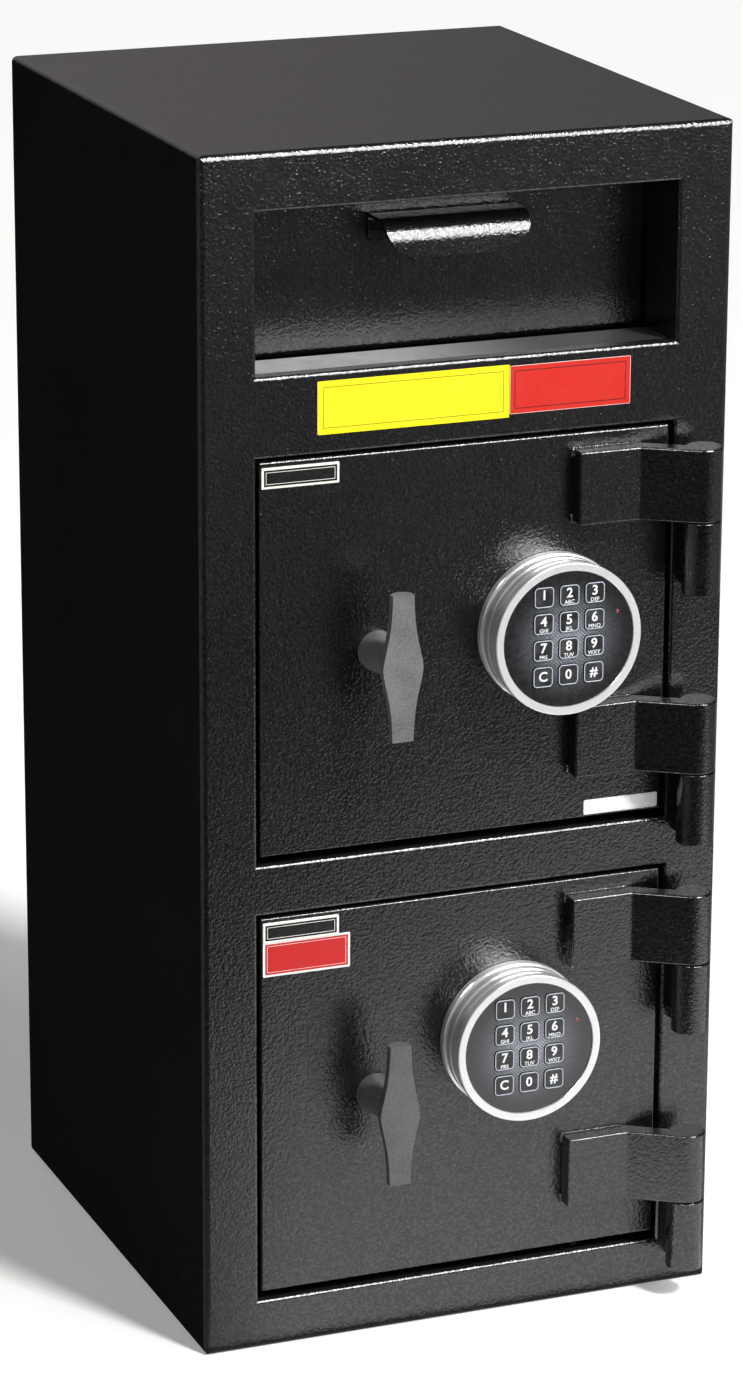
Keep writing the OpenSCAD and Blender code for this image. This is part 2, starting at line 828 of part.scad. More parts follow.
module keypad_face(i) {
  well = key_w + 2 * key_gap;
  color("#141416") at_pad(i)
    translate([0, 0, face_out - face_t])
      difference() {
        cylinder(d = pad_face_d - 2 * weld_gap, h = face_t, $fn = 96);
        for (k = [0:11])
          translate([key_at(k)[0], key_at(k)[1], -1])
            linear_extrude(face_t + 2)
              rounded(-well / 2, -well / 2, well / 2, well / 2, key_r + key_gap);
      }
}

// One key: cap through the face and a wider foot behind it
module key(i, k) {
  foot_z = well_floor + key_travel + 0.4;
  foot_top = face_out - face_t - seat_gap;
  cap_top = pad_h - 0.1;
  color("#1c1c1f") at_pad(i)
    translate([key_at(k)[0], key_at(k)[1], 0]) {
      translate([0, 0, foot_top - eps])
        linear_extrude(cap_top - foot_top + eps) square_cap(key_w);
      translate([0, 0, foot_z])
        linear_extrude(foot_top - foot_z) square_cap(foot_w);
    }
}

module square_cap(w) {
  rounded(-w / 2, -w / 2, w / 2, w / 2, key_r);
}

body_shell();
front_frame();
back_panel();
compartment_divider();
hopper_housing();
sill_pan();
saw_tooth_baffle();
bolt_keepers();
hinge_knuckles();
hinge_pins();
drawer_pivot_pins();
drawer_face();
drawer_pull();
drawer_tray();

doors = ["upper", "lower"];
key_names = ["1", "2", "3", "4", "5", "6", "7", "8", "9", "clear", "0", "hash"];
for (i = [0, 1]) {
  door(i);
  hinge_arms(i);
  bolt_guides(i);
  bolt_carriage(i);
  locking_bolts(i);
  handle(i);
  handle_spindle(i);
  lock_case(i);
  lock_bolt(i);
  keypad_housing(i);
  keypad_face(i);
  for (k = [0:11])
    key(i, k);
}
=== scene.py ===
import json
import math

import bmesh
import bpy
from mathutils import Matrix, Vector


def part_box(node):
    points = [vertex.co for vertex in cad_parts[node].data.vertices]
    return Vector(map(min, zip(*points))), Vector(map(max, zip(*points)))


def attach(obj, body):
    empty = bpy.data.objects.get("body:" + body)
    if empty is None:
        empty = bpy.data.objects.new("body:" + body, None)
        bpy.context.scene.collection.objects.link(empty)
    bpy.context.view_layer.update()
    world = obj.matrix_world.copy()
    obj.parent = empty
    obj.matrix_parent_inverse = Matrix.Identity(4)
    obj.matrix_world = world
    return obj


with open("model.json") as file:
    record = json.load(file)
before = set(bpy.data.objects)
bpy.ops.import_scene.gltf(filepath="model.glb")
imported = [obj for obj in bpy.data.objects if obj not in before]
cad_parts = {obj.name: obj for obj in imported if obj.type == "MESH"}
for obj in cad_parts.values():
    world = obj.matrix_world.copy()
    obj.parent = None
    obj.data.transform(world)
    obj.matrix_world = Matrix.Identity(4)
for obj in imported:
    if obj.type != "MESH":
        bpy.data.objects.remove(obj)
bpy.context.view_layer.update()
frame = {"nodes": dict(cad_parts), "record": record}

nodes = frame["nodes"]
sides = ("upper", "lower")
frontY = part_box("front_frame")[0].y          # the plane of the frame and of both doors
print("frame loaded:", len(nodes), "nodes")


# Camera, as the photograph was taken
photoView = {
    "place": (-1.1842, -3.0070, 1.3986),
    "aim": (-0.0582, -0.1692, 0.4401),
    "roll": 0.0043,
    "lens": 125.64,
    "sensor": 36,
    "near": 0.05,
    "far": 60,
}


def linkObject(name, data):
    obj = bpy.data.objects.new(name, data)
    bpy.context.scene.collection.objects.link(obj)
    return obj


def makeCamera(view):
    data = bpy.data.cameras.new("camera")
    data.lens = view["lens"]
    data.sensor_width = view["sensor"]
    data.clip_start = view["near"]
    data.clip_end = view["far"]
    cam = linkObject("camera", data)
    cam.location = view["place"]
    look = Vector(view["aim"]) - Vector(view["place"])
    roll = Matrix.Rotation(view["roll"], 4, "Z").to_quaternion()
    cam.rotation_mode = "QUATERNION"
    cam.rotation_quaternion = look.to_track_quat("-Z", "Y") @ roll
    bpy.context.scene.camera = cam


makeCamera(photoView)


# Small helpers for node trees

def addNode(tree, kind, inputs=None, **settings):
    node = tree.nodes.new(kind)
    for key, value in settings.items():
        setattr(node, key, value)
    for key, value in (inputs or {}).items():
        socket = node.inputs[key]
        if isinstance(value, bpy.types.NodeSocket):
            tree.links.new(value, socket)
        else:
            socket.default_value = value
    return node


def calc(tree, operation, a, b=0.0, c=0.0):
    return addNode(tree, "ShaderNodeMath", {0: a, 1: b, 2: c}, operation=operation).outputs[0]


def mixColor(tree, fac, a, b, mode="MIX"):
    node = addNode(tree, "ShaderNodeMix", {0: fac, 6: a, 7: b}, data_type="RGBA", blend_type=mode)
    return node.outputs[2]


def ramp(tree, fac, low, high, outLow=0.0, outHigh=1.0, kind="LINEAR"):
    inputs = {"Value": fac, "From Min": low, "From Max": high, "To Min": outLow, "To Max": outHigh}
    return addNode(tree, "ShaderNodeMapRange", inputs, interpolation_type=kind).outputs[0]


def noise(tree, vector, scale, detail=2.0, rough=0.5):
    inputs = {"Vector": vector, "Scale": scale, "Detail": detail, "Roughness": rough}
    return addNode(tree, "ShaderNodeTexNoise", inputs).outputs[0]


def splitAxes(tree, vector):
    return addNode(tree, "ShaderNodeSeparateXYZ", {0: vector}).outputs


def blankMaterial(name):
    mat = bpy.data.materials.new(name)
    mat.use_nodes = True
    mat.node_tree.nodes.clear()
    return mat, mat.node_tree


def startMaterial(name, centre=(0, 0, 0)):
    mat, tree = blankMaterial(name)
    out = tree.nodes.new("ShaderNodeOutputMaterial")
    shader = tree.nodes.new("ShaderNodeBsdfPrincipled")
    tree.links.new(shader.outputs[0], out.inputs[0])
    coords = tree.nodes.new("ShaderNodeTexCoord").outputs["Object"]
    if any(centre):
        inputs = {"Vector": coords, "Location": [-c for c in centre]}
        coords = addNode(tree, "ShaderNodeMapping", inputs, vector_type="POINT").outputs[0]
    return mat, tree, shader, coords


def plug(tree, shader, **sockets):
    names = {"color": "Base Color", "rough": "Roughness", "metal": "Metallic", "normal": "Normal",
             "coat": "Coat Weight", "coatRough": "Coat Roughness", "specular": "Specular IOR Level"}
    for key, value in sockets.items():
        socket = shader.inputs[names[key]]
        if isinstance(value, bpy.types.NodeSocket):
            tree.links.new(value, socket)
        else:
            socket.default_value = value


def roughRamp(tree, fac, low, high, look):
    least, most = look["roughSpread"]
    return ramp(tree, fac, low, high, look["rough"] + least, look["rough"] + most)


def bump(tree, height, distance, strength=1.0):
    inputs = {"Height": height, "Distance": distance, "Strength": strength}
    return addNode(tree, "ShaderNodeBump", inputs).outputs[0]


def edgeDistance(tree, at, w, h):
    # how far a point of a flat front lies inside the nearest edge
    x, y, z = splitAxes(tree, at)
    return calc(tree, "MINIMUM",
                calc(tree, "SUBTRACT", w / 2, calc(tree, "ABSOLUTE", x)),
                calc(tree, "SUBTRACT", h / 2, calc(tree, "ABSOLUTE", z)))


def thinLine(tree, distance, middle, half):
    return calc(tree, "LESS_THAN", calc(tree, "ABSOLUTE", calc(tree, "SUBTRACT", distance, middle)), half)


# Black baked paint with an orange-peel grain; scales are counts per metre
paint = {
    "dark": (0.0012, 0.0013, 0.0017, 1),
    "light": (0.0036, 0.0035, 0.0034, 1),
    "broadScale": 9.0,
    "fleck": (0.0180, 0.0180, 0.0185, 1),
    "fleckAmount": 0.42,
    "fleckScale": 520,
    "dust": (0.050, 0.046, 0.043, 1),     # settles on faces that look up
    "dustAmount": 0.12,
    "dustRough": 0.08,
    "patchScale": 45.0,
    "chip": (0.35, 0.34, 0.32, 1),
    "chipAmount": 0.6,
    "chipScale": 38.0,
    "chipSize": 0.012,
    "chipLimit": 0.56,                    # only where the patches are stronger than this
    "rough": 0.165,
    "roughSpread": (-0.015, 0.03),
    "gloss": (0.98, 0.60),                # on the bumps, in the pits, where it is lowered as painted shade
    "peelScale": 560,
    "peelBend": 0.0022,
    "peelHeight": 0.00020,
    "fineScale": 1300,
    "fineShare": 0.45,
}


def peelCells(tree, at, look):
    # rounded cells, bent by noise so that no row shows
    warp = addNode(tree, "ShaderNodeTexNoise", {"Vector": at, "Scale": look["peelScale"], "Detail": 1.0})
    bend = addNode(tree, "ShaderNodeVectorMath", {0: warp.outputs[1], 1: (look["peelBend"],) * 3},
                   operation="MULTIPLY").outputs[0]
    bent = addNode(tree, "ShaderNodeVectorMath", {0: at, 1: bend}, operation="ADD").outputs[0]
    inputs = {"Vector": bent, "Scale": look["peelScale"], "Smoothness": 0.8}
    return addNode(tree, "ShaderNodeTexVoronoi", inputs, feature="SMOOTH_F1").outputs[0]


def makePaint(look):
    mat, tree, shader, at = startMaterial("blackPaint")
    cells = peelCells(tree, at, look)
    fine = noise(tree, at, look["fineScale"])
    height = calc(tree, "MULTIPLY_ADD", fine, look["fineShare"], cells)
    broad = noise(tree, at, look["broadScale"], 4.0, 0.6)
    patchy = noise(tree, at, look["patchScale"], 3.0, 0.6)
    color = mixColor(tree, ramp(tree, broad, 0.3, 0.7), look["dark"], look["light"])
    grain = noise(tree, at, look["fleckScale"], 1.0)
    color = mixColor(tree, ramp(tree, grain, 0.35, 0.65, 0.0, look["fleckAmount"]), color, look["fleck"])
    normal = tree.nodes.new("ShaderNodeNewGeometry").outputs["Normal"]
    lying = ramp(tree, splitAxes(tree, normal)[2], 0.5, 1.0)
    settled = calc(tree, "MULTIPLY", lying, ramp(tree, patchy, 0.3, 0.8, 0.85, 1.0))
    color = mixColor(tree, calc(tree, "MULTIPLY", settled, look["dustAmount"]), color, look["dust"])
    chips = addNode(tree, "ShaderNodeTexVoronoi", {"Vector": at, "Scale": look["chipScale"]}).outputs[0]
    speck = calc(tree, "MULTIPLY", calc(tree, "LESS_THAN", chips, look["chipSize"]),
                 calc(tree, "GREATER_THAN", patchy, look["chipLimit"]))
    color = mixColor(tree, calc(tree, "MULTIPLY", speck, look["chipAmount"]), color, look["chip"])
    rough = roughRamp(tree, patchy, 0.25, 0.75, look)
    rough = calc(tree, "MULTIPLY_ADD", lying, look["dustRough"], rough)
    # specular is lowered in the pits of the peel as painted shade
    gloss = ramp(tree, cells, 0.10, 0.55, *look["gloss"])
    plug(tree, shader, color=color, rough=rough, specular=gloss,
         normal=bump(tree, height, look["peelHeight"]))
    return mat


# Plain metals inside and on the hinges
steel = {"color": (0.33, 0.34, 0.35, 1), "stain": (0.18, 0.17, 0.16, 1), "rough": 0.34, "line": 900}
zinc = {"color": (0.40, 0.39, 0.37, 1), "stain": (0.26, 0.25, 0.24, 1), "rough": 0.42, "line": 300}
brass = {"color": (0.60, 0.46, 0.22, 1), "stain": (0.34, 0.24, 0.12, 1), "rough": 0.30, "line": 900}
brushing = {"bright": (0.75, 0.75, 0.75, 1), "cloud": 28.0, "depth": 0.00004, "roughSpread": (-0.08, 0.12)}


def makeMetal(name, look, stretch=(1, 1, 1)):
    look = {**brushing, **look}
    mat, tree, shader, at = startMaterial(name)
    lines = addNode(tree, "ShaderNodeMapping", {"Vector": at, "Scale": stretch}).outputs[0]
    brushed = noise(tree, lines, look["line"], 3.0, 0.7)
    cloud = noise(tree, at, look["cloud"], 4.0, 0.65)
    color = mixColor(tree, ramp(tree, cloud, 0.45, 0.8, 0.0, 0.8), look["color"], look["stain"])
    color = mixColor(tree, ramp(tree, brushed, 0.2, 0.8, 0.0, 0.18), color, look["bright"])
    plug(tree, shader, color=color, metal=1.0, rough=roughRamp(tree, brushed, 0.2, 0.8, look),
         normal=bump(tree, brushed, look["depth"], 0.6))
    return mat


# Wear strip under the drawer: smooth grey, rubbed by what slides over it, with painted shade darkening it
# towards the right, where the right jamb keeps light off
sillLook = {
    "color": (0.34, 0.33, 0.335, 1),
    "rubbed": (0.45, 0.435, 0.435, 1),
    # colour of the painted shade at the right end
    "dark": (0.030, 0.030, 0.031, 1),
    "fade": (-0.045, 0.085),  # x where the painted shade starts, and where it is fully dark
    "shadeWaver": 0.03,
    "rough": 0.48,
    "roughSpread": (-0.06, 0.10),
    "metal": 0.15,
    "scuffScale": 420.0,
    "scuffStretch": (1, 0.12, 1),
    "cloud": 55.0,
    "depth": 0.00003,
}


def makeSillFinish(look):
    mat, tree, shader, at = startMaterial("sillGrey")
    along = addNode(tree, "ShaderNodeMapping", {"Vector": at, "Scale": look["scuffStretch"]}).outputs[0]
    scuffs = noise(tree, along, look["scuffScale"], 4.0, 0.7)
    cloud = noise(tree, at, look["cloud"], 4.0, 0.6)
    color = mixColor(tree, ramp(tree, cloud, 0.35, 0.7), look["color"], look["rubbed"])
    color = mixColor(tree, ramp(tree, scuffs, 0.5, 0.8, 0.0, 0.3), color, look["rubbed"])
    # painted shade: the grey turns dark towards the right end, its edge wavering with the cloud
    edge = calc(tree, "MULTIPLY_ADD", cloud, look["shadeWaver"], splitAxes(tree, at)[0])
    color = mixColor(tree, ramp(tree, edge, *look["fade"], kind="SMOOTHSTEP"), color, look["dark"])
    plug(tree, shader, color=color, metal=look["metal"], rough=roughRamp(tree, scuffs, 0.25, 0.75, look),
         normal=bump(tree, scuffs, look["depth"], 0.5))
    return mat


# Handles: silver-grey stoved finish with a fine metallic fleck; the lower handle gets a copy darkened as
# painted shade, for the weaker light low down
handleLook = {
    "color": (0.080, 0.080, 0.082, 1),
    "worn": (0.20, 0.20, 0.202, 1),
    "fleck": 1100,
    "cloud": 60.0,
    "rough": 0.47,
    "roughSpread": (-0.05, 0.07),
    "metal": 0.1,
    "depth": 0.00012,
    # the lower handle's colours are scaled by this, as painted shade
    "lowerPaintedShade": 0.64,
}


def makeHandleFinish(name, look, shade=1.0):
    mat, tree, shader, at = startMaterial(name)
    fleck = noise(tree, at, look["fleck"], 1.0)
    cloud = noise(tree, at, look["cloud"], 3.0)
    base, worn = ([shade * c for c in look[key][:3]] + [1] for key in ("color", "worn"))
    color = mixColor(tree, ramp(tree, cloud, 0.35, 0.7, 0.0, 0.35), base, worn)
    color = mixColor(tree, ramp(tree, fleck, 0.40, 0.65, 0.0, 0.6), color, worn)
    plug(tree, shader, color=color, metal=look["metal"], rough=roughRamp(tree, cloud, 0.3, 0.7, look),
         normal=bump(tree, fleck, look["depth"], 0.5))
    return mat


# Keypad: polished ring, whose front is softer, then the printed face and the rubber keys
chromeLook = {
    "color": (0.76, 0.76, 0.77, 1),
    "front": (0.64, 0.64, 0.65, 1),
    "smeared": (0.52, 0.52, 0.54, 1),
    "smearScale": 90.0,
    "smearRough": (-0.03, 0.05),
    "rough": (0.12, 0.30),                # round the side, then on the front
    "metal": (0.55, 0.32),
    "depth": 0.00003,
}


def makeChrome(look):
    mat, tree, shader, at = startMaterial("chromeRing")
    smear = noise(tree, at, look["smearScale"], 4.0, 0.6)
    turned = tree.nodes.new("ShaderNodeTexCoord").outputs["Normal"]
    facing = addNode(tree, "ShaderNodeVectorMath", {0: turned, 1: (0.0, -1.0, 0.0)},
                     operation="DOT_PRODUCT").outputs["Value"]
    front = ramp(tree, facing, 0.90, 0.98)
    base = ramp(tree, front, 0.0, 1.0, *look["rough"])
    rough = calc(tree, "ADD", base, ramp(tree, smear, 0.3, 0.75, *look["smearRough"]))
    color = mixColor(tree, front, look["color"], look["front"])
    color = mixColor(tree, ramp(tree, smear, 0.5, 0.8, 0.0, 0.15), color, look["smeared"])
    plug(tree, shader, color=color, metal=ramp(tree, front, 0.0, 1.0, *look["metal"]), rough=rough,
         normal=bump(tree, smear, look["depth"], 0.4))
    return mat


faceLook = {
    "rim": (0.006, 0.006, 0.007, 1),
    "middle": (0.40, 0.42, 0.48, 1),      # paler print round the middle keys
    "pit": (0.004, 0.004, 0.005, 1),
    "radius": (0.042, 0.006),
    "falloff": 1.5,
    "pattern": 390,
    "depth": 0.00005,
    "wear": 240.0,
    "rough": (0.22, 0.34),
    "coat": 0.5,
    "coatRough": 0.10,
}


def makeFace(name, look, centre):
    mat, tree, shader, at = startMaterial(name, centre)
    x, y, z = splitAxes(tree, at)
    away = addNode(tree, "ShaderNodeVectorMath", {0: at}, operation="LENGTH").outputs["Value"]
    glow = calc(tree, "POWER", ramp(tree, away, *look["radius"]), look["falloff"])
    slant = addNode(tree, "ShaderNodeCombineXYZ",
                    {0: calc(tree, "ADD", x, z), 1: 0.0, 2: calc(tree, "SUBTRACT", z, x)}).outputs[0]
    inputs = {"Vector": slant, "Scale": look["pattern"], "Randomness": 0.15}
    scales = addNode(tree, "ShaderNodeTexVoronoi", inputs, distance="MANHATTAN").outputs[0]
    dark = ramp(tree, scales, 0.20, 0.55, 1.0, 0.35)
    color = mixColor(tree, glow, look["rim"], look["middle"])
    color = mixColor(tree, dark, look["pit"], color)
    rough = ramp(tree, noise(tree, at, look["wear"], 3.0), 0.3, 0.7, *look["rough"])
    plug(tree, shader, color=color, rough=rough, coat=look["coat"], coatRough=look["coatRough"],
         normal=bump(tree, scales, look["depth"], 0.5))
    return mat


keyLook = {
    "color": (0.0085, 0.0085, 0.0095, 1),
    "shine": (0.035, 0.037, 0.043, 1),
    "rough": 0.33,
    "roughSpread": (-0.05, 0.1),
    "grain": 2400.0,
    "cloud": 160.0,
    "depth": 0.00003,
}


def makeKeyRubber(look):
    mat, tree, shader, at = startMaterial("keyRubber")
    grain = noise(tree, at, look["grain"])
    cloud = noise(tree, at, look["cloud"])
    color = mixColor(tree, ramp(tree, cloud, 0.35, 0.7, 0.0, 0.6), look["color"], look["shine"])
    plug(tree, shader, color=color, rough=roughRamp(tree, cloud, 0.3, 0.7, look),
         normal=bump(tree, grain, look["depth"], 0.35))
    return mat


printLook = {
    "white": ((0.78, 0.78, 0.78, 1), (0.45, 0.45, 0.46, 1)),       # fresh, rubbed
    "outline": ((0.42, 0.46, 0.53, 1), (0.28, 0.31, 0.36, 1)),
    "rubScale": 700.0,
    "rough": (0.35, 0.5),
}


def makePrint(kind, look):
    mat, tree, shader, at = startMaterial(kind + "Print")
    rub = noise(tree, at, look["rubScale"], 3.0)
    mix = mixColor(tree, ramp(tree, rub, 0.55, 0.8, 0.0, 0.5), *look[kind])
    plug(tree, shader, color=mix, rough=ramp(tree, rub, 0.3, 0.7, *look["rough"]))
    return mat


blackPaint = makePaint(paint)
bareSteel = makeMetal("bareSteel", steel, (0.12, 1, 1))
zincPlate = makeMetal("zincPlate", zinc, (1, 0.06, 1))
lockZinc = makeMetal("lockZinc", {**zinc, "rough": 0.5, "line": 1400})
lockBrass = makeMetal("lockBrass", brass, (1, 1, 0.1))
satinGrey = makeHandleFinish("satinGrey", handleLook)
# a copy darkened as painted shade, for the lower handle
paintedShadeGrey = makeHandleFinish("paintedShadeGrey", handleLook, handleLook["lowerPaintedShade"])
chromeRing = makeChrome(chromeLook)
sillGrey = makeSillFinish(sillLook)
keyRubber = makeKeyRubber(keyLook)
whitePrint = makePrint("white", printLook)
outlinePrint = makePrint("outline", printLook)
finishes = {
    "black_paint": blackPaint, "bare_steel": bareSteel, "zinc_plate": zincPlate, "satin_grey": satinGrey,
    "chrome_ring": chromeRing, "key_rubber": keyRubber, "lock_zinc": lockZinc, "lock_brass": lockBrass,
}
print("materials made")


# Softened edges of the CAD nodes: width in metres, angles in degrees
softEdge = {
    "door": 0.0013, "hinge_arms": 0.0014, "handle": 0.0006, "hinge_knuckles": 0.0008,
    "drawer_pull": 0.0006, "drawer_face": 0.0004, "sill_pan": 0.0004, "lock_case": 0.0008,
    "lock_bolt": 0.0005, "bolt_guides": 0.0006, "bolt_carriage": 0.0005, "bolt_keepers": 0.0006,
    "compartment_divider": 0.0004, "key": 0.0004,
}
unclamped = ("door", "hinge_arms")       # holes near an edge would shrink these bevels
edgeRule = {"sharp": 32, "flat": 0.4, "merge": 0.000002, "segments": 2}


def addSockets(tree, **inputs):
    # geometry in and out, with the named values between them
    kinds = {"float": "NodeSocketFloat", "int": "NodeSocketInt", "geometry": "NodeSocketGeometry"}
    for name, kind in inputs.items():
        tree.interface.new_socket(name, in_out="INPUT", socket_type=kinds[kind])
    tree.interface.new_socket("Geometry", in_out="OUTPUT", socket_type=kinds["geometry"])
    return tree.nodes.new("NodeGroupInput").outputs[:len(inputs)]


def setInputs(modifier, values):
    for item in modifier.node_group.interface.items_tree:
        if item.in_out == "INPUT" and item.name in values:
            modifier[item.identifier] = values[item.name]


def makeShellTree():
    # merges the loose triangles of a node and smooths what bends gently
    tree = bpy.data.node_groups.new("mergeShell", "GeometryNodeTree")
    source, limit, merge = addSockets(tree, Geometry="geometry", Sharp="float", Merge="float")
    bare = addNode(tree, "GeometryNodeRemoveAttribute", {"Geometry": source, "Name": "custom_normal"})
    merged = addNode(tree, "GeometryNodeMergeByDistance", {"Geometry": bare.outputs[0], "Distance": merge})
    smooth = addNode(tree, "GeometryNodeSetShadeSmooth",
                     {"Geometry": merged.outputs[0], "Shade Smooth": True}, domain="FACE")
    angle = addNode(tree, "GeometryNodeInputMeshEdgeAngle").outputs[0]
    gentle = addNode(tree, "FunctionNodeCompare", {0: angle, 1: limit},
                     data_type="FLOAT", operation="LESS_THAN").outputs[0]
    edges = addNode(tree, "GeometryNodeSetShadeSmooth",
                    {"Geometry": smooth.outputs[0], "Shade Smooth": gentle}, domain="EDGE")
    tree.links.new(edges.outputs[0], tree.nodes.new("NodeGroupOutput").inputs[0])
    return tree


shellTree = makeShellTree()
shellValues = {"Sharp": math.radians(edgeRule["sharp"]), "Merge": edgeRule["merge"]}


def softenEdges(obj, width, clamp=True):
    shell = obj.modifiers.new("mergeShell", "NODES")
    shell.node_group = shellTree
    setInputs(shell, shellValues)
    flat = obj.modifiers.new("joinFlats", "DECIMATE")
    flat.decimate_type = "DISSOLVE"
    flat.angle_limit = math.radians(edgeRule["flat"])
    edge = obj.modifiers.new("softEdge", "BEVEL")
    edge.width = width
    edge.segments = edgeRule["segments"]
    edge.limit_method = "ANGLE"
    edge.angle_limit = math.radians(edgeRule["sharp"])
    edge.harden_normals = True
    edge.use_clamp_overlap = clamp


def middleOf(low, high):
    return ((low.x + high.x) / 2, low.y, (low.z + high.z) / 2)


slotOf = {row["node"]: row["material_slot"] for row in frame["record"]["subparts"]}
for name, obj in nodes.items():
    kind = name.split("_", 1)[1] if name.startswith(sides) else name
    if kind == "keypad_face":
        mat = makeFace(name.split("_")[0] + "Face", faceLook, middleOf(*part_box(name)))
    elif kind == "sill_pan":
        mat = sillGrey
    # the lower handle takes the copy darkened as painted shade
    elif name == "lower_handle":
        mat = paintedShadeGrey
    else:
        mat = finishes[slotOf[name]]
    obj.material_slots[0].material = mat
    if kind.startswith("key_"):
        kind = "key"
    if kind in softEdge:
        softenEdges(obj, softEdge[kind], kind not in unclamped)
print("finishes assigned")


# Flat pieces on the front: labels and plates

def newPiece(name, mesh, mat, body):
    obj = linkObject(name, mesh)
    mesh.materials.clear()
    mesh.materials.append(mat)
    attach(obj, body)


def roundedOutline(w, h, r, steps=6):
    points = []
    for turn, (sx, sz) in enumerate(((1, 1), (-1, 1), (-1, -1), (1, -1))):
        for k in range(steps + 1):
            a = math.radians(90 * (turn + k / steps))
            points.append((sx * (w / 2 - r) + r * math.cos(a), sz * (h / 2 - r) + r * math.sin(a)))
    return points


def meshFrom(name, bm):
    mesh = bpy.data.meshes.new(name)
    bm.to_mesh(mesh)
    bm.free()
    return mesh


def plateMesh(name, w, h, thick, r, edge, centre):
    # closed plate facing -Y with a small chamfer round its front
    bm = bmesh.new()
    rings = []
    for y, inset in ((0.0, 0.0), (-(thick - edge), 0.0), (-thick, edge)):
        points = roundedOutline(w - 2 * inset, h - 2 * inset, max(r - inset, 0.0001))
        rings.append([bm.verts.new((x + centre[0], centre[1] + y, z + centre[2])) for x, z in points])
    count = len(rings[0])
    for low, high in zip(rings, rings[1:]):
        for k in range(count):
            bm.faces.new((low[k], low[(k + 1) % count], high[(k + 1) % count], high[k]))
    bm.faces.new(rings[0])
    bm.faces.new(rings[-1])
    bmesh.ops.recalc_face_normals(bm, faces=bm.faces)
    return meshFrom(name, bm)


labelSheet = {
    "thick": 0.00022,
    "corner": 0.0008,
    "edge": 0.00006,
    "grime": 70.0,
    "wave": 26.0,
    "waveDepth": 0.0006,
    "rough": (0.34, 0.48),
    "specular": 0.25,
}
# x and z are the edges of each label on the front; rim and line count from its edge
labels = {
    "yellowLabel": {
        "body": "safe_body", "x": (-0.1045, 0.0280), "z": (0.6280, 0.6630),
        "color": (0.96, 0.82, 0.0, 1), "worn": (0.90, 0.72, 0.0, 1), "line": (0.28, 0.20, 0.0, 1),
        "rimColor": (0.96, 0.82, 0.0, 1), "rim": 0.0, "lineIn": 0.0042, "lineWidth": 0.0007,
    },
    "redLabel": {
        "body": "safe_body", "x": (0.0283, 0.1136), "z": (0.6300, 0.6620),
        "color": (0.60, 0.012, 0.003, 1), "worn": (0.50, 0.012, 0.005, 1), "line": (0.08, 0.003, 0.003, 1),
        "rimColor": (0.80, 0.55, 0.52, 1), "rim": 0.0004, "lineIn": 0.0036, "lineWidth": 0.0007,
    },
    "whiteLabel": {
        "body": "upper_door_leaf", "x": (0.0857, 0.1393), "z": (0.3500, 0.3602),
        "color": (0.80, 0.80, 0.79, 1), "worn": (0.68, 0.67, 0.65, 1), "line": (0.45, 0.45, 0.45, 1),
        "rimColor": (0.80, 0.80, 0.79, 1), "rim": 0.0, "lineIn": 0.0009, "lineWidth": 0.00025,
        "corner": 0.0014,
    },
    "smallRedLabel": {
        "body": "lower_door_leaf", "x": (-0.1424, -0.0812), "z": (0.2648, 0.2890),
        "color": (0.50, 0.012, 0.012, 1), "worn": (0.42, 0.02, 0.02, 1), "line": (0.80, 0.78, 0.76, 1),
        "rimColor": (0.80, 0.78, 0.76, 1), "rim": 0.0016, "lineIn": 0.0030, "lineWidth": 0.0003,
    },
}


def makeLabel(name, look, w, h, centre):
    # vinyl label with a thin printed line inside its edge
    mat, tree, shader, at = startMaterial(name, centre)
    fromEdge = edgeDistance(tree, at, w, h)
    line = thinLine(tree, fromEdge, look["lineIn"], look["lineWidth"] / 2)
    grime = noise(tree, at, labelSheet["grime"], 4.0, 0.65)
    color = mixColor(tree, ramp(tree, grime, 0.45, 0.8, 0.0, 0.30), look["color"], look["worn"])
    color = mixColor(tree, calc(tree, "MULTIPLY", line, 0.85), color, look["line"])
    color = mixColor(tree, ramp(tree, fromEdge, look["rim"], look["rim"] * 0.8), color, look["rimColor"])
    wave = noise(tree, at, labelSheet["wave"])
    plug(tree, shader, color=color, rough=ramp(tree, grime, 0.3, 0.7, *labelSheet["rough"]),
         specular=labelSheet["specular"], normal=bump(tree, wave, labelSheet["waveDepth"], 0.35))
    return mat


plateLook = {
    "rim": (0.94, 0.92, 0.84, 1),
    "field": (0.008, 0.008, 0.009, 1),
    "rimWidth": 0.0016,
    "innerLine": 0.0031,
    "innerHalf": 0.00018,
    "metal": 0.2,
    "rough": (0.16, 0.34),
    "scuffScale": 300.0,
    "depth": 0.0001,
    "thick": 0.0008,
    "corner": 0.0006,
    "edge": 0.00025,
}
plates = {
    "upperPlate": {"body": "upper_door_leaf", "x": (-0.1427, -0.0896), "z": (0.5958, 0.6097)},
    "lowerPlate": {"body": "lower_door_leaf", "x": (-0.1425, -0.0892), "z": (0.2885, 0.3024)},
}


def makePlateFinish(name, look, w, h, centre):
    mat, tree, shader, at = startMaterial(name, centre)
    fromEdge = edgeDistance(tree, at, w, h)
    inner = thinLine(tree, fromEdge, look["innerLine"], look["innerHalf"])
    rim = calc(tree, "MAXIMUM", calc(tree, "LESS_THAN", fromEdge, look["rimWidth"]), inner)
    scuff = noise(tree, at, look["scuffScale"], 4.0, 0.7)
    color = mixColor(tree, rim, look["field"], look["rim"])
    plug(tree, shader, color=color, metal=calc(tree, "MULTIPLY", rim, look["metal"]),
         rough=ramp(tree, scuff, 0.3, 0.75, *look["rough"]), normal=bump(tree, rim, look["depth"], 0.6))
    return mat


def frontArea(look):
    (left, right), (foot, top) = look["x"], look["z"]
    return right - left, top - foot, ((left + right) / 2, frontY, (foot + top) / 2)


